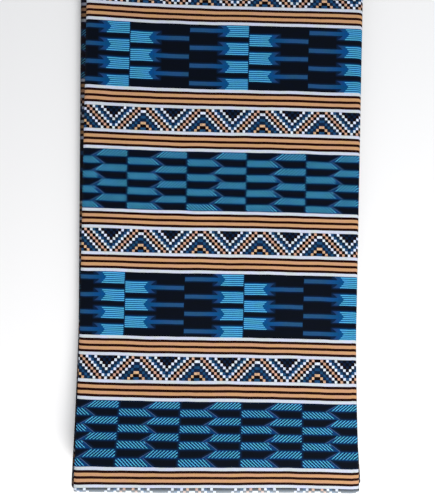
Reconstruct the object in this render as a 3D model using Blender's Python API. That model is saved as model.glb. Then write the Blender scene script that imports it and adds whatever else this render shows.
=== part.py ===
"""A folded length of wax print cotton, as one piece of cloth in its true folds.

Metres, +Z up. The cloth is doubled across its width, so it is a sheet of two plies with a springy
folded edge toward -Y and both selvedges toward +Y. The doubled sheet is then folded back and forth
along its length into panels that lie on each other, from the top panel down to the one on Z = 0.
X runs along the cloth's length, which is across the pack. The pack is thickest at its folded edge.
"""

import math
from collections import namedtuple

import bmesh
import bpy

# The cloth, as it is sold: 46 in wide and 2 yd long
CLOTH_WIDTH = 1.168
CLOTH_LENGTH = 1.829
SHEET = 0.001
PANELS = 6

# A ply's distance from its panel's middle, where the pack lies flat and at its folded edge, how deep
# the nose of a loop is, and how far the fold misses the middle of the width.
FLAT_PLY = 0.00075
EDGE_PLY = 0.0022
LOOP_NOSE = 0.0030
FOLD_OFF_CENTRE = 0.0020

# The rise toward the folded edge: its length, its curves, how much higher it is on the left side,
# and where and how far it rounds over.
RISE_LENGTH = 0.175
RISE_POWER = 1.5
LOOP_POWER = 3.0
LEFT_LIFT = 0.12
ROUND_START = 0.85
ROUND_OFF = 0.08

# The slight waves of the folded edges: their length, their turn from panel to panel, and their height
WAVE_LENGTH = 0.23
WAVE_TURN = 1.9
LOOP_WAVE = 0.0005

# How finely each stretch is divided
PANEL_STEPS = 8
BEND_STEPS = 6
NOSE_STEPS = 8
FLAT_STEPS = 5
RISE_STEPS = 7

CLOTH_COLOUR = (0.028, 0.085, 0.19, 1.0)
CLOTH_ROUGHNESS = 0.85

# From each panel's middle to the next one's below it, where the pack lies flat and at its folded edge
Gap = namedtuple("Gap", "flat edge")
GAPS = (
    Gap(0.0031, 0.0076),
    Gap(0.0029, 0.0067),
    Gap(0.0031, 0.0075),
    Gap(0.0029, 0.0065),
    Gap(0.0030, 0.0070),
)

# Where the cloth turns or ends on each side, from the top down, as the outermost X of its sheet
# at the selvedges, where the rise begins, and at the folded edge.
Turn = namedtuple("Turn", "selvedge middle edge")
TURNS = (
    Turn(-0.1506, -0.1506, -0.1444),  # cut end of the top panel
    Turn(0.1550, 0.1558, 0.1576),
    Turn(-0.1591, -0.1531, -0.1508),
    Turn(0.1530, 0.1545, 0.1634),
    Turn(-0.1550, -0.1520, -0.1522),
    Turn(0.1525, 0.1540, 0.1650),
    Turn(-0.1510, -0.1500, -0.1495),  # cut end of the lowest panel
)

# How far each panel's folded edge stands back from the top panel's, how far its selvedges do,
# and how far both wander from a straight line.
Offset = namedtuple("Offset", "edge selvedge wave")
OFFSETS = (
    Offset(0.0000, 0.0000, 0.0003),
    Offset(-0.0006, -0.0040, 0.0006),
    Offset(0.0012, -0.0040, 0.0010),
    Offset(0.0020, 0.0015, 0.0009),
    Offset(0.0008, -0.0025, 0.0012),
    Offset(0.0015, 0.0020, 0.0008),
)

HALF_WIDTH = CLOTH_WIDTH / 2
HALF_PANEL = CLOTH_LENGTH / PANELS / 2
EDGE_Y = -HALF_WIDTH / 2
RISE_Y = EDGE_Y + RISE_LENGTH
NOSE_ARC = math.pi / 2 * (EDGE_PLY + LOOP_NOSE) / 2
PLY_REACH = HALF_WIDTH - NOSE_ARC


def blend(a, b, t):
    return a + (b - a) * t


def rise(y):
    """0 where the pack lies flat, 1 at its folded edge."""
    return min(1.0, max(0.0, (RISE_Y - y) / RISE_LENGTH))


def thickening(lift):
    """How far the pack has grown thicker at this rise: it rounds over just before its folded edge."""
    over = max(0.0, lift - ROUND_START) / (1 - ROUND_START)
    return lift ** RISE_POWER - ROUND_OFF * over * over


def turn_x(turn, y):
    """The outermost X of a turn at this Y."""
    back = min(1.0, max(0.0, (y - RISE_Y) / (-EDGE_Y - RISE_Y)))
    return blend(turn.middle, turn.selvedge, back) + (turn.edge - turn.middle) * rise(y) ** RISE_POWER


def length_stations():
    """Stops along the cloth's length: (panel, share of the way across it, angle of a bend or None)."""
    stops = []
    for panel in range(PANELS):
        for step in range(PANEL_STEPS + 1):
            stops.append((panel, step / PANEL_STEPS, None))
        if panel < PANELS - 1:
            for step in range(1, BEND_STEPS):
                stops.append((panel, 1.0, math.pi / 2 - math.pi * step / BEND_STEPS))
    return stops


def width_stations():
    """Stops across the width: (ply's side, distance from the loop's root to the selvedge, loop angle or None)."""
    rise_stops = [RISE_LENGTH * (step / RISE_STEPS) ** 1.3 for step in range(RISE_STEPS)]
    plies = []
    for reach in (PLY_REACH + FOLD_OFF_CENTRE, PLY_REACH - FOLD_OFF_CENTRE):
        flat = reach - RISE_LENGTH
        plies.append(rise_stops + [RISE_LENGTH + flat * step / FLAT_STEPS for step in range(FLAT_STEPS + 1)])
    upper, lower = plies
    nose = [math.pi / 2 - math.pi * step / NOSE_STEPS for step in range(1, NOSE_STEPS)]
    return (
        [(1, away, None) for away in reversed(upper)]
        + [(0, 0.0, angle) for angle in nose]
        + [(-1, away, None) for away in lower]
    )


def gap(index, puff):
    return blend(GAPS[index].flat, GAPS[index].edge, puff)


def centre_line(panel, share, angle, y, puff, ply):
    """The doubled sheet's middle at this stop, and its outward normal, both in the XZ plane."""
    height = SHEET / 2 + ply + sum(gap(index, puff) for index in range(panel, PANELS - 1))
    ends = []
    for index in (panel, panel + 1):
        side = 1 if TURNS[index].middle > 0 else -1
        inset = SHEET / 2 if index in (0, PANELS) else gap(index - 1, puff) / 2 + ply + SHEET / 2
        ends.append(turn_x(TURNS[index], y) - side * inset)
    heading = 1 if ends[1] > ends[0] else -1
    if angle is None:
        return blend(*ends, share), height, 0.0, float(heading)
    radius = gap(panel, puff) / 2
    reach, drop = math.cos(angle), math.sin(angle)
    return ends[1] + heading * radius * reach, height - radius + radius * drop, reach, heading * drop


def place(length_stop, width_stop):
    """A point of the cloth's middle surface in the pack."""
    panel, share, angle = length_stop
    side, away, nose = width_stop
    own, turned = OFFSETS[panel], 0.0
    if angle is not None:
        turned = 0.5 - angle / math.pi
        own = Offset(*(blend(*pair, turned) for pair in zip(own, OFFSETS[panel + 1])))
    y = EDGE_Y + LOOP_NOSE + away + blend(own.edge, own.selvedge, away / PLY_REACH)
    lift = rise(y)
    puff = thickening(lift)
    ply = blend(FLAT_PLY, EDGE_PLY, lift ** LOOP_POWER)
    x, z, normal_x, normal_z = centre_line(panel, share, angle, y, puff, ply)
    out = side * ply
    if nose is not None:
        out = ply * math.sin(nose)
        y -= LOOP_NOSE * math.cos(nose)
    x += normal_x * out
    z += normal_z * out
    pack_top = SHEET / 2 + 2 * ply + sum(gap(index, puff) for index in range(PANELS - 1))
    phase = 2 * math.pi * x / WAVE_LENGTH + WAVE_TURN * (panel + turned)
    y += own.wave * math.sin(phase)
    raised = LOOP_WAVE * lift * lift * math.cos(phase)
    tilt = 1.0 - LEFT_LIFT * lift * x / HALF_PANEL + raised / pack_top
    return x, y, SHEET / 2 + (z - SHEET / 2) * tilt


def cloth_material():
    material = bpy.data.materials.new("wax_print_cotton")
    material.use_nodes = True
    shader = material.node_tree.nodes["Principled BSDF"]
    shader.inputs["Base Color"].default_value = CLOTH_COLOUR
    shader.inputs["Roughness"].default_value = CLOTH_ROUGHNESS
    shader.inputs["Metallic"].default_value = 0.0
    return material


def make_cloth():
    along = length_stations()
    across = width_stations()
    bm = bmesh.new()
    bmesh.ops.create_grid(bm, x_segments=len(along) - 1, y_segments=len(across) - 1, size=1.0)
    for vertex in bm.verts:
        column = round((vertex.co.x + 1) / 2 * (len(along) - 1))
        row = round((vertex.co.y + 1) / 2 * (len(across) - 1))
        vertex.co = place(along[column], across[row])
    mesh = bpy.data.meshes.new("folded_cloth")
    bm.to_mesh(mesh)
    bm.free()
    cloth = bpy.data.objects.new("folded_cloth", mesh)
    bpy.context.scene.collection.objects.link(cloth)
    mesh.materials.append(cloth_material())
    mesh.shade_smooth()
    thickness = cloth.modifiers.new("thickness", "SOLIDIFY")
    thickness.thickness = SHEET
    thickness.offset = 0.0
    thickness.use_even_offset = True
    return cloth


def centre_on_origin(cloth):
    """Moves the mesh so that the solid stands on Z = 0 with its box centred on the origin."""
    solid = cloth.evaluated_get(bpy.context.evaluated_depsgraph_get())
    corners = [corner[:] for corner in solid.bound_box]
    low = [min(corner[axis] for corner in corners) for axis in range(3)]
    high = [max(corner[axis] for corner in corners) for axis in range(3)]
    for vertex in cloth.data.vertices:
        vertex.co.x -= (low[0] + high[0]) / 2
        vertex.co.y -= (low[1] + high[1]) / 2
        vertex.co.z -= low[2]


for leftover in list(bpy.data.objects):
    bpy.data.objects.remove(leftover)
centre_on_origin(make_cloth())
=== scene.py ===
"""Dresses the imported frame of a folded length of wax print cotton.

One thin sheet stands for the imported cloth: it lies in the same folds, with the print laid out in metres
of cloth on its own map, a fine plain weave, soft creases and a springy folded edge toward -Y.
"""

import math
from collections import namedtuple

import bmesh
import bpy
from mathutils import Euler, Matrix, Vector


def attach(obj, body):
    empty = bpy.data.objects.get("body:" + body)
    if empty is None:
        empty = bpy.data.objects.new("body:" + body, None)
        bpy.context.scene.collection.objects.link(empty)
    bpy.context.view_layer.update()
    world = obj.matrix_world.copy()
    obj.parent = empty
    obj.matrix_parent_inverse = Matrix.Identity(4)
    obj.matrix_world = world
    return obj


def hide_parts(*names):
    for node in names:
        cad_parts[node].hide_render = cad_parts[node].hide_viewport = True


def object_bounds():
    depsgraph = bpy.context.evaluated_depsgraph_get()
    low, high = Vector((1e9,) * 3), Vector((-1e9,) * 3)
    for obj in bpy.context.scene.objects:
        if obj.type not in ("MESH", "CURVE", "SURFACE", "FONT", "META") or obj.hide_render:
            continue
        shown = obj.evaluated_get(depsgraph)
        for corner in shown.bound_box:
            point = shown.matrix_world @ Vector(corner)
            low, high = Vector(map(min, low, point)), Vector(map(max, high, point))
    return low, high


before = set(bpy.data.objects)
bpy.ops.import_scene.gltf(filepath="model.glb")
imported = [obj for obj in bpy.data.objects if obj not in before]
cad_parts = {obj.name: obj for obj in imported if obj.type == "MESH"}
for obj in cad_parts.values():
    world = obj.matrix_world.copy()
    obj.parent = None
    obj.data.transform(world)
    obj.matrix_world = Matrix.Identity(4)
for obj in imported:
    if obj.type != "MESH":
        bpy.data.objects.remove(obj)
cad_low, cad_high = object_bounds()

# The cloth as it is sold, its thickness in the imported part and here, and the number of its panels
CLOTH_WIDTH = 1.168
CLOTH_LENGTH = 1.829
CAD_SHEET = 0.001
COTTON = 0.0004
PANELS = 6

# A ply's distance from its panel's middle, where the pack lies flat and at its folded edge, how deep
# the nose of a loop is, and how far the fold misses the middle of the width.
FLAT_PLY = 0.00075
EDGE_PLY = 0.0022
LOOP_NOSE = 0.0030
FOLD_OFF_CENTRE = 0.0020

# The rise toward the folded edge: its length, its curves, how much higher it is on the left side,
# and where and how far it rounds over.
RISE_LENGTH = 0.175
RISE_POWER = 1.5
LOOP_POWER = 3.0
LEFT_LIFT = 0.12
ROUND_START = 0.85
ROUND_OFF = 0.08

# The slight waves of the folded edges: their length, their turn from panel to panel, and their height
WAVE_LENGTH = 0.23
WAVE_TURN = 1.9
LOOP_WAVE = 0.0005

# From each panel's middle to the next one's below it, where the pack lies flat and at its folded edge
Gap = namedtuple("Gap", "flat edge")
GAPS = (
    Gap(0.0031, 0.0076),
    Gap(0.0029, 0.0067),
    Gap(0.0031, 0.0075),
    Gap(0.0029, 0.0065),
    Gap(0.0030, 0.0070),
)

# Where the cloth turns or ends on each side, from the top down, as the outermost X of its sheet
# at the selvedges, where the rise begins, and at the folded edge.
Turn = namedtuple("Turn", "selvedge middle edge")
TURNS = (
    Turn(-0.1506, -0.1506, -0.1444),  # cut end of the top panel
    Turn(0.1550, 0.1558, 0.1576),
    Turn(-0.1591, -0.1531, -0.1508),
    Turn(0.1530, 0.1545, 0.1634),
    Turn(-0.1550, -0.1520, -0.1522),
    Turn(0.1525, 0.1540, 0.1650),
    Turn(-0.1510, -0.1500, -0.1495),  # cut end of the lowest panel
)

# How far each panel's folded edge stands back from the top panel's, how far its selvedges do,
# and how far both wander from a straight line.
Offset = namedtuple("Offset", "edge selvedge wave")
OFFSETS = (
    Offset(0.0000, 0.0000, 0.0003),
    Offset(-0.0006, -0.0040, 0.0006),
    Offset(0.0012, -0.0040, 0.0010),
    Offset(0.0020, 0.0015, 0.0009),
    Offset(0.0008, -0.0025, 0.0012),
    Offset(0.0015, 0.0020, 0.0008),
)

HALF_WIDTH = CLOTH_WIDTH / 2
HALF_PANEL = CLOTH_LENGTH / PANELS / 2
EDGE_Y = -HALF_WIDTH / 2
RISE_Y = EDGE_Y + RISE_LENGTH
NOSE_ARC = math.pi / 2 * (EDGE_PLY + LOOP_NOSE) / 2
PLY_REACH = HALF_WIDTH - NOSE_ARC

# The pack's top sinks a little toward both sides, and the top panel's cut end droops
SHOULDER = 0.0060
SHOULDER_DROP = 0.0008
DROOP_WIDTH = 0.0045
DROOP = 0.0011

# How finely the cloth is divided. The top panel has even steps, apart from its first and last two,
# where close stops lie this far from each end. The lower ply has a third as many stops as the upper.
TOP_STEPS = 60
TOP_END_STEPS = 2
END_STOPS = (0.0004, 0.0009, 0.0015, 0.0022, 0.0030, 0.0038, 0.0046, 0.0052, 0.0058, 0.0065, 0.0080)
UNDER_STEPS = 16
BEND_STEPS = 8
NOSE_STEPS = 12
RISE_STEPS = 34
RISE_CROWDING = 1.15
FLAT_STEPS = 60
LOWER_PLY_EVERY = 3

# Soft troughs and ridges in the pack, listed one by one: centre, turn of the long way, half sizes and
# height
Crease = namedtuple("Crease", "x y turn length width height")
CREASES = (
    Crease(0.1503, -0.150, 90, 0.140, 0.0011, -0.0006),
    Crease(-0.1200, 0.120, 88, 0.120, 0.014, -0.0007),
    Crease(0.0300, 0.200, 5, 0.110, 0.016, 0.0006),
    Crease(-0.0600, 0.040, 12, 0.090, 0.018, -0.0006),
    Crease(0.0700, -0.020, 172, 0.100, 0.020, 0.0007),
    Crease(0.0100, -0.130, 4, 0.120, 0.022, -0.0008),
    Crease(-0.0900, -0.190, 160, 0.060, 0.014, 0.0008),
    Crease(0.1000, -0.220, 30, 0.050, 0.012, 0.0007),
)

# The top side fold's painted shade sets in between these two angles of its bend
PAINTED_SHADE_FROM = math.pi / 4
PAINTED_SHADE_FULL = math.pi / 8

# The photograph's height in pixels, a pixel's size on the flat top, the row where the folded edge ends,
# and how high that edge's outermost line lies over the flat top. Then the camera's own distance from
# the flat top, and its turn.
FRAME_HEIGHT = 495
METRES_PER_PIXEL = 0.0011
FOLD_ROW = 494.2
NOSE_RISE = 0.0193
CAMERA_DISTANCE = 0.44
CAMERA_ROLL = 0.0215

# Where the photograph shows a comb panel's top left corner, as metres from the camera's axis, and
# how far from the loop the top panel's middle is read for it.
PRINT_X = -0.1009
PRINT_Y = 0.2431
MIDDLE_READ_AT = RISE_LENGTH + 0.1


def blend(a, b, t):
    return a + (b - a) * t


def rise(y):
    """0 where the pack lies flat, 1 at its folded edge."""
    return min(1.0, max(0.0, (RISE_Y - y) / RISE_LENGTH))


def thickening(lift):
    """How far the pack has grown thicker at this rise: it rounds over just before its folded edge."""
    over = max(0.0, lift - ROUND_START) / (1 - ROUND_START)
    return lift ** RISE_POWER - ROUND_OFF * over * over


def turn_x(turn, y):
    """The outermost X of a turn at this Y."""
    back = min(1.0, max(0.0, (y - RISE_Y) / (-EDGE_Y - RISE_Y)))
    return blend(turn.middle, turn.selvedge, back) + (turn.edge - turn.middle) * rise(y) ** RISE_POWER


def crease_height(x, y):
    """The sum of the soft creases at this place."""
    total = 0.0
    for crease in CREASES:
        turn = math.radians(crease.turn)
        along = (x - crease.x) * math.cos(turn) + (y - crease.y) * math.sin(turn)
        across = (y - crease.y) * math.cos(turn) - (x - crease.x) * math.sin(turn)
        total += crease.height * math.exp(-((along / crease.length) ** 2) - (across / crease.width) ** 2)
    return total


def length_stations():
    """Stops along the cloth's length: (panel, share of the way across it, angle of a bend or None)."""
    stops = []
    close = [length / (2 * HALF_PANEL) for length in END_STOPS]
    top_shares = [0.0] + close + [
        step / TOP_STEPS for step in range(TOP_END_STEPS, TOP_STEPS + 1 - TOP_END_STEPS)
    ]
    top_shares += [1.0 - share for share in reversed(close)] + [1.0]
    under_shares = [step / UNDER_STEPS for step in range(UNDER_STEPS + 1)]
    for panel in range(PANELS):
        for share in top_shares if panel == 0 else under_shares:
            stops.append((panel, share, None))
        if panel < PANELS - 1:
            for step in range(1, BEND_STEPS):
                stops.append((panel, 1.0, math.pi / 2 - math.pi * step / BEND_STEPS))
    return stops


def width_stations():
    """Stops across the width: (ply's side, distance from the loop's root, loop angle or None)."""
    rise_stops = [RISE_LENGTH * (step / RISE_STEPS) ** RISE_CROWDING for step in range(RISE_STEPS)]
    plies = []
    for reach, every in ((PLY_REACH + FOLD_OFF_CENTRE, 1), (PLY_REACH - FOLD_OFF_CENTRE, LOWER_PLY_EVERY)):
        flat = reach - RISE_LENGTH
        stops = rise_stops + [RISE_LENGTH + flat * step / FLAT_STEPS for step in range(FLAT_STEPS)]
        plies.append(stops[::every] + [reach])
    upper, lower = plies
    nose = [math.pi / 2 - math.pi * step / NOSE_STEPS for step in range(1, NOSE_STEPS)]
    return (
        [(1, away, None) for away in reversed(upper)]
        + [(0, 0.0, angle) for angle in nose]
        + [(-1, away, None) for away in lower]
    )


def gap(index, puff):
    """From a panel's middle to the next one's below it, where the pack is this far thickened."""
    return blend(GAPS[index].flat, GAPS[index].edge, puff)


def centre_line(panel, share, angle, y, puff, ply):
    """The doubled sheet's middle at this stop, and its outward normal, both in the XZ plane."""
    height = CAD_SHEET / 2 + ply + sum(gap(index, puff) for index in range(panel, PANELS - 1))
    ends = []
    for index in (panel, panel + 1):
        side = 1 if TURNS[index].middle > 0 else -1
        inset = CAD_SHEET / 2 if index in (0, PANELS) else gap(index - 1, puff) / 2 + ply + CAD_SHEET / 2
        ends.append(turn_x(TURNS[index], y) - side * inset)
    heading = 1 if ends[1] > ends[0] else -1
    if angle is None:
        return blend(*ends, share), height, 0.0, float(heading)
    radius = gap(panel, puff) / 2
    reach, drop = math.cos(angle), math.sin(angle)
    return ends[1] + heading * radius * reach, height - radius + radius * drop, reach, heading * drop


def surface_lift(panel, share, x, y):
    """How far the pack's top is raised here by its creases, less its shoulders and its drooping end."""
    inside = HALF_PANEL - abs(x)
    shoulder = min(1.0, max(0.0, 1 - inside / SHOULDER))
    raised = crease_height(x, y) - SHOULDER_DROP * shoulder * shoulder
    if panel == 0:
        from_end = min(1.0, share * 2 * HALF_PANEL / DROOP_WIDTH)
        raised -= DROOP * (1 - from_end) ** 2
    return raised


def place(length_stop, width_stop):
    """A point of the cloth's middle surface in the pack."""
    panel, share, angle = length_stop
    side, away, nose = width_stop
    own, turned = OFFSETS[panel], 0.0
    if angle is not None:
        turned = 0.5 - angle / math.pi
        own = Offset(*(blend(*pair, turned) for pair in zip(own, OFFSETS[panel + 1])))
    y = EDGE_Y + LOOP_NOSE + away + blend(own.edge, own.selvedge, away / PLY_REACH)
    lift = rise(y)
    puff = thickening(lift)
    ply = blend(FLAT_PLY, EDGE_PLY, lift ** LOOP_POWER)
    x, z, normal_x, normal_z = centre_line(panel, share, angle, y, puff, ply)
    out = side * ply
    if nose is not None:
        out = ply * math.sin(nose)
        y -= LOOP_NOSE * math.cos(nose)
    x += normal_x * out
    z += normal_z * out
    pack_top = CAD_SHEET / 2 + 2 * ply + sum(gap(index, puff) for index in range(PANELS - 1))
    phase = 2 * math.pi * x / WAVE_LENGTH + WAVE_TURN * (panel + turned)
    y += own.wave * math.sin(phase)
    raised = LOOP_WAVE * lift * lift * math.cos(phase) + surface_lift(panel, share, x, y)
    tilt = 1.0 - LEFT_LIFT * lift * x / HALF_PANEL + raised / pack_top
    return Vector((x, y, CAD_SHEET / 2 + (z - CAD_SHEET / 2) * tilt))


def painted_fold_shade_at(length_stop):
    """How much painted shade a stop takes: 1 in one of the side folds, apart from the part of the top one
    that faces up.
    """
    panel, share, angle = length_stop
    if panel == 0 and angle is not None:
        return min(1.0, max(0.0, (PAINTED_SHADE_FROM - angle) / (PAINTED_SHADE_FROM - PAINTED_SHADE_FULL)))
    return float(panel > 0 and (share == 0.0 or (share == 1.0 and panel < PANELS - 1)))


def running_lengths(points):
    """The distance along a row of points, from its first one."""
    total = [0.0]
    for before, after in zip(points, points[1:]):
        total.append(total[-1] + (after - before).length)
    return total


def lengths_along(along, away):
    """How far along the cloth each stop is at this distance from the loop, from the top panel's middle."""
    run = running_lengths([place(stop, (0, away, None)) for stop in along])
    middle = along.index((0, 0.5, None))
    return [length - run[middle] for length in run]


def lengths_across(across):
    """How far across the cloth each stop is, from the loop's middle."""
    run = running_lengths([place((0, 0.5, None), stop) for stop in across])
    middle = next(i for i, stop in enumerate(across) if stop[2] is not None and abs(stop[2]) < 1e-6)
    return [length - run[middle] for length in run]


# The print isn't quite square with the folds: it runs up toward the top panel's far left corner
PULL = 0.0040
PULL_POWER = 1.3
PULL_START = -0.103
PULL_LENGTH = 0.289

# Toward the folded edge it runs wider, drifts toward -X, and sags at both sides
EDGE_SPREAD = 0.010
SPREAD_POWER = 0.6
EDGE_DRIFT = 0.0042
DRIFT_POWER = 1.2
EDGE_SAG = 0.0010

# Where it strays toward -Y: the middle of the stray, its reach and its size
Stray = namedtuple("Stray", "y reach size")
STRAYS = (Stray(0.200, 0.030, -0.0009), Stray(-0.267, 0.010, 0.0013), Stray(-0.295, 0.009, -0.0018))


def print_pull(x, y):
    """How far up the cloth the print has moved here, from where it would lie if it were square."""
    back = max(0.0, (y - PULL_START) / PULL_LENGTH)
    left = min(1.0, max(0.0, 0.5 - x / (2 * HALF_PANEL)))
    pull = PULL * back ** PULL_POWER * left ** 3 - EDGE_SAG * rise(y) ** 3 * (x / HALF_PANEL) ** 2
    return pull - sum(stray.size * math.exp(-((y - stray.y) / stray.reach) ** 2) for stray in STRAYS)


def print_run(run, y):
    """How far along the print a point is that lies this far along the cloth."""
    return run / (1.0 + EDGE_SPREAD * rise(y) ** SPREAD_POWER) + EDGE_DRIFT * rise(y) ** DRIFT_POWER


def ink(red, green, blue):
    """A colour given as it shows on a screen, 0 to 255, as a node's colour."""
    def linear(value):
        value /= 255
        return value / 12.92 if value <= 0.04045 else ((value + 0.055) / 1.055) ** 2.4
    return (linear(red), linear(green), linear(blue), 1.0)


# The stripes' inks, as they look in even light
WHITE = ink(203, 211, 229)
ORANGE = ink(199, 153, 116)
LINE = ink(30, 4, 2)

# The inks of the comb and arrow panels
DARK = ink(3, 9, 22)
NAVY = ink(3, 34, 70)
DEEP = ink(3, 54, 106)
STEEL = ink(32, 77, 124)
MIDDLE = ink(2, 72, 130)
DIM = ink(34, 52, 96)
COMB_BASE = ink(0, 72, 128)
COMB_LINE = ink(82, 176, 226)
HATCH_BASE = ink(0, 32, 82)
HATCH_LINE = ink(96, 210, 255)
DUSTY = ink(80, 104, 146)

# The zigzag's inks
ZIGZAG_BLACK = ink(12, 2, 4)
ZIGZAG_NAVY = ink(10, 30, 58)
ZIGZAG_BLUE = ink(28, 72, 114)
ZIGZAG_WHITE = ink(216, 226, 246)
PEACH = ink(204, 162, 142)
PEAK = ink(208, 170, 136)

# The print, in metres of cloth. Down the width one repeat is a comb panel, a border, an arrow panel
# and a border, and a border is a zigzag band between two sets of stripes.
UNIT = 0.0655
COMB_PANEL = 0.0699
ARROW_PANEL = 0.0651
WHITE_LINE = 0.0032
BLACK_LINE = 0.0028
BLACK_LINES = 3
ORANGE_LINE = 0.00337
STRIPES = 2 * WHITE_LINE + BLACK_LINES * BLACK_LINE + (BLACK_LINES - 1) * ORANGE_LINE
ZIGZAG_ROWS = 8
ZIGZAG_ROW = 0.00318
ZIGZAG_BAND = ZIGZAG_ROWS * ZIGZAG_ROW
ZIGZAG_CELLS = 21
BORDER = 2 * STRIPES + ZIGZAG_BAND
REPEAT = COMB_PANEL + ARROW_PANEL + 2 * BORDER
SELVEDGE = 0.009

# Half the width of the thin line between two units
JOIN_LINE = 0.0006

# Where a V's lowest cell lies in its unit, and how far the zigzag's dark cells spread over the others
VALLEY = 0.75
INK_SPREAD = 0.00022

# One zigzag cell's colour goes by how many cells it lies from the V's middle plus its row
ZIGZAG_INKS = (
    ZIGZAG_NAVY, DARK, ZIGZAG_NAVY, ZIGZAG_BLACK, ZIGZAG_WHITE, ZIGZAG_NAVY,
    ZIGZAG_BLUE, ZIGZAG_WHITE, ZIGZAG_BLACK, PEACH, ZIGZAG_BLACK, ZIGZAG_WHITE,
    ZIGZAG_NAVY, ZIGZAG_BLUE, ZIGZAG_NAVY, PEAK, ZIGZAG_BLACK, ZIGZAG_BLUE,
)

# The zigzag's mottle: how fine it is, and what it multiplies the inks by
MOTTLE_SCALE = 330.0
MOTTLE_DARK = (0.4, 0.4, 0.45, 1.0)
MOTTLE_LIGHT = (1.6, 1.6, 1.55, 1.0)

# Each noise on the same map is read in a slice of its own, so that no two look alike
WANDER_SLICE = 3.0
WEFT_SLICE = 5.0
MOTTLE_SLICE = 7.0
PATCH_SLICE = 9.0


class Sums:
    """Math nodes in one material, so that a pattern reads as the arithmetic that it is."""

    def __init__(self, tree):
        self.tree = tree

    def node(self, kind, **settings):
        made = self.tree.nodes.new(kind)
        for name, value in settings.items():
            setattr(made, name, value)
        return made

    def feed(self, socket, value):
        """Links a socket to another, or gives it a plain value."""
        if isinstance(value, bpy.types.NodeSocket):
            self.tree.links.new(value, socket)
        else:
            socket.default_value = value

    def math(self, operation, *values):
        made = self.node("ShaderNodeMath", operation=operation)
        for socket, value in zip(made.inputs, values):
            self.feed(socket, value)
        return made.outputs[0]

    def add(self, a, b):
        return self.math("ADD", a, b)

    def less(self, a, b):
        return self.math("SUBTRACT", a, b)

    def times(self, a, b):
        return self.math("MULTIPLY", a, b)

    def over(self, a, b):
        return self.math("DIVIDE", a, b)

    def below(self, a, b):
        return self.math("LESS_THAN", a, b)

    def above(self, a, b):
        return self.math("GREATER_THAN", a, b)

    def within(self, a, low, high):
        """1 where a lies between low and high."""
        return self.times(self.above(a, low), self.below(a, high))

    def either(self, a, b):
        return self.math("MAXIMUM", a, b)

    def choose(self, mask, low, high):
        """low where the mask is 0, high where it is 1."""
        return self.add(self.times(self.less(high, low), mask), low)

    def repeat(self, a, length):
        return self.math("FLOORED_MODULO", a, length)

    def mirror(self, a, length):
        return self.math("PINGPONG", a, length)

    def size(self, a):
        return self.math("ABSOLUTE", a)

    def soft(self, distance, reach):
        """1 at no distance, falling evenly to 0 at reach."""
        made = self.node("ShaderNodeMath", operation="SUBTRACT", use_clamp=True)
        made.inputs[0].default_value = 1.0
        self.feed(made.inputs[1], self.over(distance, reach))
        return made.outputs[0]

    def paint(self, mask, under, top):
        """The colour under, with top over it where the mask says."""
        mix = self.node("ShaderNodeMix", data_type="RGBA")
        self.feed(mix.inputs["Factor"], mask)
        self.feed(mix.inputs["A"], under)
        self.feed(mix.inputs["B"], top)
        return mix.outputs["Result"]

    def blend_colours(self, kind, a, b):
        mix = self.node("ShaderNodeMix", data_type="RGBA", blend_type=kind)
        mix.inputs["Factor"].default_value = 1.0
        self.feed(mix.inputs["A"], a)
        self.feed(mix.inputs["B"], b)
        return mix.outputs["Result"]

    def noise(self, vector, scale, detail=2.0):
        made = self.node("ShaderNodeTexNoise")
        self.feed(made.inputs["Vector"], vector)
        made.inputs["Scale"].default_value = scale
        made.inputs["Detail"].default_value = detail
        return made.outputs["Fac"]

    def sway(self, vector, scale, detail=2.0):
        """Noise that swings about 0."""
        return self.less(self.noise(vector, scale, detail), 0.5)

    def vector(self, x, y, z=0.0):
        made = self.node("ShaderNodeCombineXYZ")
        for socket, value in zip(made.inputs, (x, y, z)):
            self.feed(socket, value)
        return made.outputs[0]


def stripe_colour(s, across):
    """The set of stripes, by the distance from its edge."""
    colour = s.paint(s.below(across, WHITE_LINE), ORANGE, WHITE)
    start = WHITE_LINE
    for _ in range(BLACK_LINES):
        colour = s.paint(s.within(across, start, start + BLACK_LINE), colour, LINE)
        start += BLACK_LINE + ORANGE_LINE
    return s.paint(s.above(across, STRIPES - WHITE_LINE), colour, WHITE)


def zigzag_colour(s, u, down):
    """The band of little cells: down is the distance from its top."""
    cell = UNIT / ZIGZAG_CELLS
    from_valley = s.less(u, VALLEY * UNIT - cell / 2)
    column = s.math("FLOOR", s.over(s.repeat(from_valley, UNIT), cell))
    out = s.mirror(column, ZIGZAG_CELLS / 2)
    row = s.math("FLOOR", s.over(down, ZIGZAG_ROW))
    step = s.add(out, row)
    inks = s.node("ShaderNodeValToRGB")
    ramp = inks.color_ramp
    ramp.interpolation = "CONSTANT"
    while len(ramp.elements) < len(ZIGZAG_INKS):
        ramp.elements.new(0.5)
    for index, colour in enumerate(ZIGZAG_INKS):
        ramp.elements[index].position = index / len(ZIGZAG_INKS)
        ramp.elements[index].color = colour
    s.feed(inks.inputs[0], s.over(s.add(step, 0.5), len(ZIGZAG_INKS)))
    return inks.outputs["Color"]


def mottled_zigzag(s, u, v, in_band):
    """The zigzag band with its dark cells spread a little, and its ink mottled."""
    one = zigzag_colour(s, s.add(u, INK_SPREAD), s.add(in_band, INK_SPREAD))
    other = zigzag_colour(s, s.less(u, INK_SPREAD), s.less(in_band, INK_SPREAD))
    mottle = s.paint(s.noise(s.vector(u, v, MOTTLE_SLICE), MOTTLE_SCALE, 1.0), MOTTLE_DARK, MOTTLE_LIGHT)
    return s.blend_colours("MULTIPLY", s.blend_colours("DARKEN", one, other), mottle)


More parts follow.
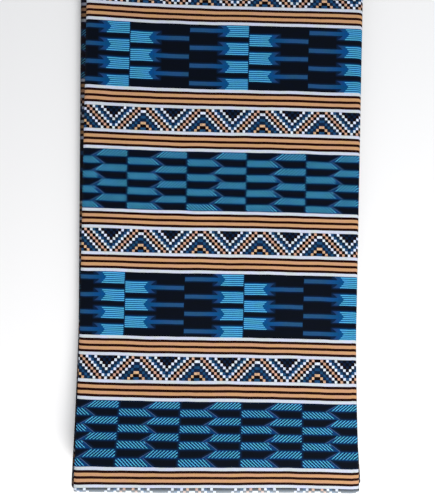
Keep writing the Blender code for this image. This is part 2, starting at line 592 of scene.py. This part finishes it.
# The combs, in metres: a block's pitch down the panel, its half height, and how far its parts reach.
# A column of whole blocks has four, and the shifted one beside it has three.
COMB_PITCH = 0.0191
COMB_HALF = 0.0064
WHOLE_COMBS = 4.0
SHIFTED_COMBS = 3.0
COMB_TOOTH = 0.00213
TOOTH_SHARE = 0.5
TOOTH_REACH = 0.0012
COMB_POINT = 0.0195
COMB_CORNER = 0.0248
NOTCH = 0.0280
SPIKE_END = 0.0336
BAR_HALF = 0.0021
BAR_START = 0.0270
BAR_FADE = 0.02
BAR_END = 0.0650
COMB_HALO = 0.0020
HALO_SHARE = 0.8


def comb_colour(s, u, down):
    """The panel of combs: each faces its neighbour across a line, with its bar on the far side."""
    shifted = s.below(s.repeat(u, 2 * UNIT), UNIT)
    away = s.mirror(u, UNIT)
    first = s.choose(shifted, COMB_HALF, COMB_HALF + COMB_PITCH / 2)
    count = s.choose(shifted, WHOLE_COMBS, SHIFTED_COMBS)
    from_first = s.add(s.less(down, first), COMB_PITCH / 2)
    number = s.math("FLOOR", s.over(from_first, COMB_PITCH))
    there = s.times(s.above(number, -0.5), s.below(number, s.less(count, 0.5)))
    off = s.less(s.repeat(from_first, COMB_PITCH), COMB_PITCH / 2)
    out = s.size(off)
    spread = s.over(out, COMB_HALF)
    in_block = s.times(s.below(spread, 1.0), there)
    glow = s.times(s.soft(s.less(out, COMB_HALF), COMB_HALO), s.soft(s.less(away, SPIKE_END), COMB_HALO))
    beside_bar = s.soft(s.less(away, BAR_END), COMB_HALO)
    glow = s.either(glow, s.times(s.soft(s.less(out, BAR_HALF), COMB_HALO), beside_bar))
    colour = s.paint(s.times(s.times(glow, there), HALO_SHARE), DARK, NAVY)
    spike_edge = s.add(NOTCH, s.times(s.times(spread, spread), SPIKE_END - NOTCH))
    faded = s.less(1.0, s.soft(s.less(away, COMB_CORNER), SPIKE_END - COMB_CORNER))
    spike = s.paint(faded, MIDDLE, DIM)
    colour = s.paint(s.times(in_block, s.below(away, spike_edge)), colour, spike)
    bar_colour = s.paint(s.soft(s.less(away, BAR_START), BAR_FADE), STEEL, MIDDLE)
    bar = s.times(s.times(s.below(out, BAR_HALF), there), s.within(away, BAR_START, BAR_END))
    colour = s.paint(bar, colour, bar_colour)
    tooth = s.above(s.repeat(s.add(off, COMB_HALF), COMB_TOOTH), COMB_TOOTH * TOOTH_SHARE)
    comb_edge = s.add(COMB_POINT, s.times(spread, COMB_CORNER - COMB_POINT))
    comb_edge = s.add(comb_edge, s.times(tooth, TOOTH_REACH))
    comb = s.times(in_block, s.below(away, comb_edge))
    colour = s.paint(comb, colour, COMB_BASE)
    colour = s.paint(s.times(comb, tooth), colour, COMB_LINE)
    return s.paint(s.below(away, JOIN_LINE), colour, NAVY)


# The arrows, in metres: where the lit part's slanted edge and the line beside it lie in their unit,
# at the row's top and at its foot.
ARROW_ROWS = 8
ARROW_ROW = ARROW_PANEL / ARROW_ROWS
Slant = namedtuple("Slant", "lit_top lit_foot line_top line_foot")
UPPER_ROW = Slant(0.0380, 0.0300, 0.0400, 0.0252)
LOWER_ROW = Slant(0.0287, 0.0349, 0.0290, 0.0407)
OUTLINE_WIDTH = 0.0009
OUTLINE_SHARE = 0.8

# The blue that the dark part takes on beside the slanted line, the row's edges and the unit's sides
SLANT_GLOW = 0.0050
ROW_GLOW = 0.0020
ROW_GLOW_SHARE = 0.7
SIDE_GLOW = 0.0024
GLOW_SHARE = 0.85

# The lit part's plain margin, its hatching, and how unevenly that takes
MARGIN = 0.0003
MARGIN_FADE = 0.0011
HATCH_PITCH = 0.0038
HATCH_SLOPE = 1.25
HATCH_SHARE = 0.24
CROSSING = 0.15
LEAST_TAKEN = 0.7
TAKEN_RANGE = 0.6
TAKEN_SCALE = 26.0


def slanted_edge(s, upper, fall, top, foot):
    """Where the named edge of the upper or the lower row lies, this far down the row."""
    places = [s.add(getattr(row, top), s.times(fall, getattr(row, foot) - getattr(row, top)))
              for row in (LOWER_ROW, UPPER_ROW)]
    return s.choose(upper, *places)


def hatching(s, x, down, facing):
    """1 on a line of the hatching, less on a line that crosses it."""
    run = s.times(s.times(down, facing), HATCH_SLOPE)
    open_part = HATCH_PITCH * (1 - HATCH_SHARE)
    main = s.above(s.repeat(s.add(x, run), HATCH_PITCH), open_part)
    crossing = s.above(s.repeat(s.less(x, run), HATCH_PITCH), open_part)
    return s.either(main, s.times(crossing, CROSSING))


def arrow_colour(s, u, down):
    """The panel of arrows: rows in turn are lit to the right of a slanted edge and to its left."""
    x = s.repeat(u, UNIT)
    upper = s.below(s.repeat(down, 2 * ARROW_ROW), ARROW_ROW)
    in_row = s.repeat(down, ARROW_ROW)
    fall = s.over(in_row, ARROW_ROW)
    facing = s.choose(upper, -1.0, 1.0)
    inside = s.times(s.less(x, slanted_edge(s, upper, fall, "lit_top", "lit_foot")), facing)
    past_line = s.times(s.less(slanted_edge(s, upper, fall, "line_top", "line_foot"), x), facing)
    edge_near = s.math("MINIMUM", in_row, s.less(ARROW_ROW, in_row))
    side_near = s.math("MINIMUM", x, s.less(UNIT, x))
    glow = s.either(s.soft(past_line, SLANT_GLOW), s.times(s.soft(edge_near, ROW_GLOW), ROW_GLOW_SHARE))
    glow = s.either(glow, s.soft(side_near, SIDE_GLOW))
    colour = s.paint(s.times(glow, GLOW_SHARE), DARK, NAVY)
    colour = s.paint(s.below(past_line, 0.0), colour, DEEP)
    line = s.below(s.size(past_line), OUTLINE_WIDTH / 2)
    colour = s.paint(s.times(line, OUTLINE_SHARE), colour, DUSTY)
    lit = s.above(inside, 0.0)
    colour = s.paint(lit, colour, DEEP)
    margin = s.less(1.0, s.soft(s.less(edge_near, MARGIN), MARGIN_FADE))
    colour = s.paint(s.times(lit, margin), colour, HATCH_BASE)
    taken = s.add(LEAST_TAKEN, s.times(s.noise(s.vector(x, down), TAKEN_SCALE, 1.0), TAKEN_RANGE))
    hatch = s.times(s.times(hatching(s, x, down, facing), margin), s.times(lit, taken))
    colour = s.paint(hatch, colour, HATCH_LINE)
    return s.paint(s.below(side_near, JOIN_LINE), colour, NAVY)


def print_colour(s, u, v):
    """The whole print, by metres along and down the cloth from the top left of a comb panel."""
    down = s.repeat(v, REPEAT)
    second = s.above(down, COMB_PANEL + BORDER)
    down = s.less(down, s.times(second, COMB_PANEL + BORDER))
    height = s.choose(second, COMB_PANEL, ARROW_PANEL)
    panels = s.paint(second, comb_colour(s, u, down), arrow_colour(s, u, down))
    in_border = s.less(down, height)
    from_middle = s.size(s.less(in_border, BORDER / 2))
    stripes = stripe_colour(s, s.less(from_middle, ZIGZAG_BAND / 2))
    zigzag = mottled_zigzag(s, u, v, s.less(in_border, STRIPES))
    border = s.paint(s.below(from_middle, ZIGZAG_BAND / 2), stripes, zigzag)
    return s.paint(s.above(in_border, 0.0), panels, border)


# How finely the print wanders from its drawn edges along the cloth and across it, and how far
WANDER_SCALE_ALONG = 55.0
WANDER_SCALE_ACROSS = 30.0
WANDER_ALONG = 0.0009
WANDER_ACROSS = 0.0014

# How fine the clouds, the yarn streaks and the grain in the ink are, and how much each shades it
CLOUD_SCALE = 22.0
CLOUD_DETAIL = 4.0
CLOUD_SHADE = 0.16
STREAK_LONG_WAY = 8.0
STREAK_SHORT_WAY = 380.0
STREAK_SHADE = 0.14
GRAIN_SCALE = 700.0
GRAIN_SHADE = 0.3

# Patches of pinker and of yellower ink: how fine they are each way, where they part, and their tints
PATCHES_ALONG = 70.0
PATCHES_ACROSS = 210.0
PATCH_START = 0.38
PATCH_BLEND = 0.24
PINKER = (1.0, 0.97, 1.03, 1.0)
YELLOWER = (1.0, 1.0, 0.86, 1.0)

# The painted highlight on the loop's crest, and the painted shade of the side folds
CREST_HIGHLIGHT_SHARE = 0.35
CREST_HIGHLIGHT_WIDTH = 0.0045
CREST_HIGHLIGHT_COLOUR = ink(214, 226, 236)
FOLD_SHADE_SHARE = 0.8
PAINTED_FOLD_SHADE = ink(16, 10, 12)

# The plain weave: a yarn's width, the heights of its weave and of its swells, and its finish
YARN = 0.00042
WEAVE_HEIGHT = 0.00004
SLUB_HEIGHT = 0.00009
BUMP_STRENGTH = 0.6
ROUGHNESS = 0.74
SLUB_ROUGHNESS = 0.15
SPECULAR = 0.05
SHEEN = 0.02
SHEEN_ROUGHNESS = 0.5


def yarn_streaks(s, along, across):
    """Thin streaks along the yarns, both ways."""
    warp = s.vector(s.times(along, STREAK_LONG_WAY), s.times(across, STREAK_SHORT_WAY))
    weft = s.vector(s.times(along, STREAK_SHORT_WAY), s.times(across, STREAK_LONG_WAY), WEFT_SLICE)
    return s.add(s.sway(warp, 1.0), s.sway(weft, 1.0))


def rolled_print(s, metres, along, across, print_left, print_top):
    """The print as a roller leaves it, a little off its drawn edges, between plain selvedges."""
    wander_u = s.sway(metres, WANDER_SCALE_ALONG)
    wander_v = s.sway(s.vector(across, along, WANDER_SLICE), WANDER_SCALE_ACROSS)
    u = s.add(s.less(along, print_left), s.times(wander_u, WANDER_ALONG))
    v = s.add(s.less(across, print_top), s.times(wander_v, WANDER_ACROSS))
    return s.paint(s.above(s.size(across), HALF_WIDTH - SELVEDGE), print_colour(s, u, v), DARK)


def uneven_ink(s, colour, metres, along, across, streaks):
    """The colour with faint clouds, streaks, grain and tinted patches in it."""
    clouds = s.times(s.sway(metres, CLOUD_SCALE, CLOUD_DETAIL), CLOUD_SHADE)
    grain = s.times(s.sway(metres, GRAIN_SCALE), GRAIN_SHADE)
    shade = s.add(s.add(clouds, s.times(streaks, STREAK_SHADE)), grain)
    tone = s.node("ShaderNodeHueSaturation")
    s.feed(tone.inputs["Value"], s.add(1.0, shade))
    s.feed(tone.inputs["Color"], colour)
    spots = s.vector(s.times(along, PATCHES_ALONG), s.times(across, PATCHES_ACROSS), PATCH_SLICE)
    patch = s.noise(spots, 1.0)
    patches = s.less(1.0, s.soft(s.less(patch, PATCH_START), PATCH_BLEND))
    return s.blend_colours("MULTIPLY", tone.outputs[0], s.paint(patches, PINKER, YELLOWER))


def painted_fold_light(s, colour, across):
    """The colour with a painted highlight on the loop's crest, and painted shade darkening the side folds.
    """
    # Painted highlight: the colour made pale along the loop's crest
    crest_highlight = s.times(s.soft(s.less(s.size(across), CREST_HIGHLIGHT_WIDTH / 2), CREST_HIGHLIGHT_WIDTH), CREST_HIGHLIGHT_SHARE)
    colour = s.paint(crest_highlight, colour, CREST_HIGHLIGHT_COLOUR)
    # Painted shade: the side folds darkened in colour
    fold_painted_shade = s.node("ShaderNodeAttribute", attribute_name="fold_painted_shade")
    return s.paint(s.times(fold_painted_shade.outputs["Fac"], FOLD_SHADE_SHARE), colour, PAINTED_FOLD_SHADE)


def weave_normal(s, along, across, streaks):
    """Plain weave: over and under, with the yarns' own swells."""
    over = s.math("SINE", s.times(along, math.pi / YARN))
    under = s.math("SINE", s.times(across, math.pi / YARN))
    height = s.add(s.times(s.times(over, under), WEAVE_HEIGHT), s.times(streaks, SLUB_HEIGHT))
    bump = s.node("ShaderNodeBump")
    bump.inputs["Strength"].default_value = BUMP_STRENGTH
    bump.inputs["Distance"].default_value = 1.0
    s.feed(bump.inputs["Height"], height)
    return bump.outputs[0]


def wax_print_cotton(print_left, print_top):
    material = bpy.data.materials.new("wax_print_cotton")
    material.use_nodes = True
    tree = material.node_tree
    shader = tree.nodes["Principled BSDF"]
    s = Sums(tree)
    metres = s.node("ShaderNodeUVMap", uv_map="cloth_metres").outputs[0]
    split = s.node("ShaderNodeSeparateXYZ")
    s.feed(split.inputs[0], metres)
    along, across = split.outputs[0], split.outputs[1]
    streaks = yarn_streaks(s, along, across)
    colour = rolled_print(s, metres, along, across, print_left, print_top)
    colour = uneven_ink(s, colour, metres, along, across, streaks)
    s.feed(shader.inputs["Base Color"], painted_fold_light(s, colour, across))
    s.feed(shader.inputs["Normal"], weave_normal(s, along, across, streaks))
    s.feed(shader.inputs["Roughness"], s.add(ROUGHNESS, s.times(streaks, SLUB_ROUGHNESS)))
    shader.inputs["Specular IOR Level"].default_value = SPECULAR
    shader.inputs["Sheen Weight"].default_value = SHEEN
    shader.inputs["Sheen Roughness"].default_value = SHEEN_ROUGHNESS
    return material


def fold_cloth(along, across, points, shift):
    """The cloth as one thin sheet in its folds, with its map in metres of cloth."""
    lengthwise = [lengths_along(along, stop[1]) for stop in across]
    widthwise = lengths_across(across)
    bm = bmesh.new()
    bmesh.ops.create_grid(bm, x_segments=len(along) - 1, y_segments=len(across) - 1, size=1.0)
    cloth_map = bm.loops.layers.uv.new("cloth_metres")
    fold_painted_shade = bm.verts.layers.float.new("fold_painted_shade")
    stops = {}
    for vertex in bm.verts:
        column = round((vertex.co.x + 1) / 2 * (len(along) - 1))
        row = round((vertex.co.y + 1) / 2 * (len(across) - 1))
        stops[vertex] = (column, row)
        vertex.co = points[column][row] + shift
        # Painted shade: how much the colour is darkened in the side folds, kept on each point
        vertex[fold_painted_shade] = painted_fold_shade_at(along[column])
    for face in bm.faces:
        face.smooth = True
        for loop in face.loops:
            column, row = stops[loop.vert]
            x, y, _ = points[column][row]
            loop[cloth_map].uv = (print_run(lengthwise[row][column], y), widthwise[row] + print_pull(x, y))
    mesh = bpy.data.meshes.new("printed_cloth")
    bm.to_mesh(mesh)
    bm.free()
    cloth = bpy.data.objects.new("printed_cloth", mesh)
    bpy.context.scene.collection.objects.link(cloth)
    thickness = cloth.modifiers.new("cotton", "SOLIDIFY")
    thickness.thickness = COTTON
    thickness.offset = 0.0
    thickness.use_even_offset = True
    return cloth


def frame_shift(points):
    """From the folding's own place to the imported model's, whose box is centred over the origin."""
    left = min(point.x for row in points for point in row)
    right = max(point.x for row in points for point in row)
    near = min(point.y for row in points for point in row) - CAD_SHEET / 2
    return Vector(((cad_low.x + cad_high.x - left - right) / 2, cad_low.y - near, 0.0))


# The lamps, by where they stand, how large and how strong they are, in watts; both face the pack
Lamp = namedtuple("Lamp", "name place size power colour")
LAMPS = (
    Lamp("key", (0.35, -1.25, 0.95), (0.9, 0.6), 26.5, (1.0, 0.98, 0.95)),
    Lamp("fill", (0.7, 0.8, 1.3), (1.2, 1.2), 5.0, (0.93, 0.97, 1.0)),
)

# The floor reaches this far from the origin. Its colour and the studio's light are near white.
FLOOR_REACH = 3.0
FLOOR_COLOUR = (0.93, 0.93, 0.94, 1.0)
FLOOR_ROUGHNESS = 0.7
STUDIO_COLOUR = (0.95, 0.97, 1.0, 1.0)
STUDIO_STRENGTH = 0.42


def add_camera(aim):
    """Looks straight down on the top panel, turned a little, with the photograph's field of view."""
    data = bpy.data.cameras.new("camera")
    camera = bpy.data.objects.new("camera", data)
    bpy.context.scene.collection.objects.link(camera)
    data.lens = data.sensor_width * CAMERA_DISTANCE / (FRAME_HEIGHT * METRES_PER_PIXEL)
    camera.location = aim + Vector((0, 0, CAMERA_DISTANCE))
    camera.rotation_euler = Euler((0, 0, CAMERA_ROLL))
    bpy.context.scene.camera = camera


def add_lamp(lamp, aim):
    data = bpy.data.lights.new(lamp.name, "AREA")
    data.shape = "RECTANGLE"
    data.size, data.size_y = lamp.size
    data.energy = lamp.power
    data.color = lamp.colour
    light = bpy.data.objects.new(lamp.name, data)
    bpy.context.scene.collection.objects.link(light)
    light.location = lamp.place
    light.rotation_euler = (aim - Vector(lamp.place)).to_track_quat("-Z", "Y").to_euler()


def add_floor():
    bm = bmesh.new()
    bmesh.ops.create_grid(bm, x_segments=1, y_segments=1, size=FLOOR_REACH)
    mesh = bpy.data.meshes.new("floor")
    bm.to_mesh(mesh)
    bm.free()
    floor = bpy.data.objects.new("floor", mesh)
    bpy.context.scene.collection.objects.link(floor)
    material = bpy.data.materials.new("pale_floor")
    material.use_nodes = True
    shader = material.node_tree.nodes["Principled BSDF"]
    shader.inputs["Base Color"].default_value = FLOOR_COLOUR
    shader.inputs["Roughness"].default_value = FLOOR_ROUGHNESS
    mesh.materials.append(material)


def add_world():
    world = bpy.data.worlds.new("soft_studio")
    world.use_nodes = True
    background = world.node_tree.nodes["Background"]
    background.inputs["Color"].default_value = STUDIO_COLOUR
    background.inputs["Strength"].default_value = STUDIO_STRENGTH
    bpy.context.scene.world = world


along = length_stations()
across = width_stations()
points = [[place(length_stop, width_stop) for width_stop in across] for length_stop in along]
shift = frame_shift(points)
flat_top = CAD_SHEET / 2 + 2 * FLAT_PLY + sum(gap(index, 0.0) for index in range(PANELS - 1))
fold_reach = (FOLD_ROW - FRAME_HEIGHT / 2) * METRES_PER_PIXEL * (1 - NOSE_RISE / CAMERA_DISTANCE)
aim = Vector((shift.x, cad_low.y + fold_reach, flat_top))

panel_middle = place((0, 0.5, None), (0, MIDDLE_READ_AT, None)).x + shift.x
print_left = aim.x + PRINT_X - panel_middle
top_selvedge = place((0, 0.5, None), across[0]) + shift
print_top = lengths_across(across)[0] + top_selvedge.y - (aim.y + PRINT_Y)
cloth = fold_cloth(along, across, points, shift)
cloth.data.materials.append(wax_print_cotton(print_left, print_top))

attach(cloth, "root")
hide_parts("folded_cloth")

add_camera(aim)
add_floor()
add_world()
for lamp in LAMPS:
    add_lamp(lamp, aim)
bpy.context.scene.view_settings.view_transform = "Standard"
